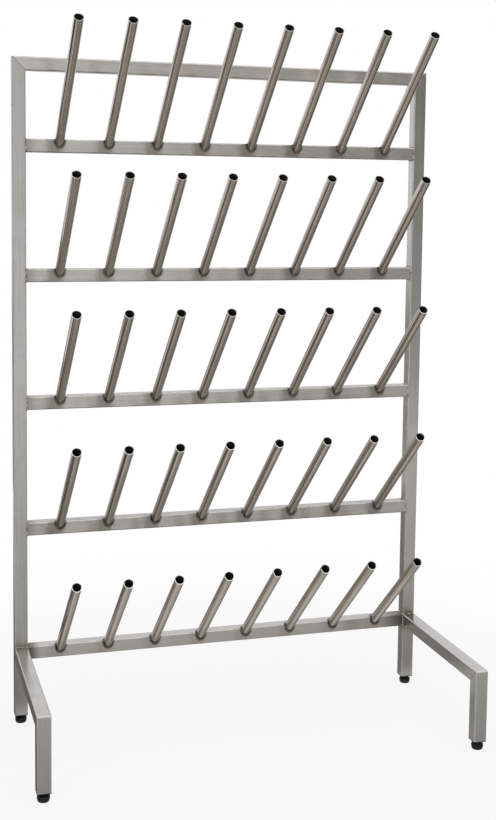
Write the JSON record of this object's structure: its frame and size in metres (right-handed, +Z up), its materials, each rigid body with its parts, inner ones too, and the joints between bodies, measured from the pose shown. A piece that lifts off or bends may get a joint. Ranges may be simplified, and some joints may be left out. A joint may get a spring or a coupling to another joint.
{
  "type": "boot rack",
  "caption": "Free-standing welded stainless boot rack: square tube frame with rows of round pegs that lean forward and up, on two front foot arms with screw feet.",
  "frame": {"origin": "on the floor, at the centre of the bounding box", "axes": "+Z up, +X along the rails to the viewer's right, +Y to the back; the pegs and foot arms face -Y"},
  "size_m": [1.163, 0.51, 1.8555],
  "materials": {
    "frame_tube": "brushed lengthwise, cool grey",
    "peg_tube": "drawn tube, lengthwise streaks, warm grey",
    "black_plastic": "moulded, satin black",
    "foot_black": "moulded, dull black"
  },
  "bodies": {
    "rack": {"left_upright": "frame_tube", "right_upright": "frame_tube", "top_rail": "frame_tube", "peg_rail_1": "frame_tube", "peg_rail_2": "frame_tube", "peg_rail_3": "frame_tube", "peg_rail_4": "frame_tube", "peg_rail_5": "frame_tube", "left_foot_arm": "frame_tube", "right_foot_arm": "frame_tube", "front_legs": "frame_tube", "peg_row1_1": "peg_tube", "peg_row1_2": "peg_tube", "peg_row1_3": "peg_tube", "peg_row1_4": "peg_tube", "peg_row1_5": "peg_tube", "peg_row1_6": "peg_tube", "peg_row1_7": "peg_tube", "peg_row1_8": "peg_tube", "peg_row2_1": "peg_tube", "peg_row2_2": "peg_tube", "peg_row2_3": "peg_tube", "peg_row2_4": "peg_tube", "peg_row2_5": "peg_tube", "peg_row2_6": "peg_tube", "peg_row2_7": "peg_tube", "peg_row2_8": "peg_tube", "peg_row3_1": "peg_tube", "peg_row3_2": "peg_tube", "peg_row3_3": "peg_tube", "peg_row3_4": "peg_tube", "peg_row3_5": "peg_tube", "peg_row3_6": "peg_tube", "peg_row3_7": "peg_tube", "peg_row3_8": "peg_tube", "peg_row4_1": "peg_tube", "peg_row4_2": "peg_tube", "peg_row4_3": "peg_tube", "peg_row4_4": "peg_tube", "peg_row4_5": "peg_tube", "peg_row4_6": "peg_tube", "peg_row4_7": "peg_tube", "peg_row4_8": "peg_tube", "peg_row5_1": "peg_tube", "peg_row5_2": "peg_tube", "peg_row5_3": "peg_tube", "peg_row5_4": "peg_tube", "peg_row5_5": "peg_tube", "peg_row5_6": "peg_tube", "peg_row5_7": "peg_tube", "peg_row5_8": "peg_tube", "leg_plugs": "black_plastic"},
    "back_left_pad": {"back_left_foot_pad": "foot_black"},
    "back_right_pad": {"back_right_foot_pad": "foot_black"},
    "front_left_pad": {"front_left_foot_pad": "foot_black"},
    "front_right_pad": {"front_right_foot_pad": "foot_black"},
    "back_left_stud": {"back_left_foot_stud": "black_plastic"},
    "back_right_stud": {"back_right_foot_stud": "black_plastic"},
    "front_left_stud": {"front_left_foot_stud": "black_plastic"},
    "front_right_stud": {"front_right_foot_stud": "black_plastic"}
  },
  "joints": [
    {"name": "back_left_foot_height", "type": "slide", "parent": "rack", "child": "back_left_pad", "axis": [0, 0, -1], "range_m": [-0.0027, 0.015]},
    {"name": "back_left_stud_turn", "type": "hinge", "parent": "back_left_pad", "child": "back_left_stud", "pos_m": [-0.564, 0.2375, 0.0165], "axis": [0, 0, -1], "range_deg": [-648, 3600]},
    {"name": "back_right_foot_height", "type": "slide", "parent": "rack", "child": "back_right_pad", "axis": [0, 0, -1], "range_m": [-0.0027, 0.015]},
    {"name": "back_right_stud_turn", "type": "hinge", "parent": "back_right_pad", "child": "back_right_stud", "pos_m": [0.564, 0.2375, 0.0165], "axis": [0, 0, -1], "range_deg": [-648, 3600]},
    {"name": "front_left_foot_height", "type": "slide", "parent": "rack", "child": "front_left_pad", "axis": [0, 0, -1], "range_m": [-0.0027, 0.015]},
    {"name": "front_left_stud_turn", "type": "hinge", "parent": "front_left_pad", "child": "front_left_stud", "pos_m": [-0.564, -0.2375, 0.0165], "axis": [0, 0, -1], "range_deg": [-648, 3600]},
    {"name": "front_right_foot_height", "type": "slide", "parent": "rack", "child": "front_right_pad", "axis": [0, 0, -1], "range_m": [-0.0027, 0.015]},
    {"name": "front_right_stud_turn", "type": "hinge", "parent": "front_right_pad", "child": "front_right_stud", "pos_m": [0.564, -0.2375, 0.0165], "axis": [0, 0, -1], "range_deg": [-648, 3600]}
  ],
  "couplings": [
    {"joint": "back_left_stud_turn", "follows": "back_left_foot_height", "rad_per_m": 4188.8},
    {"joint": "back_right_stud_turn", "follows": "back_right_foot_height", "rad_per_m": 4188.8},
    {"joint": "front_left_stud_turn", "follows": "front_left_foot_height", "rad_per_m": 4188.8},
    {"joint": "front_right_stud_turn", "follows": "front_right_foot_height", "rad_per_m": 4188.8}
  ]
}
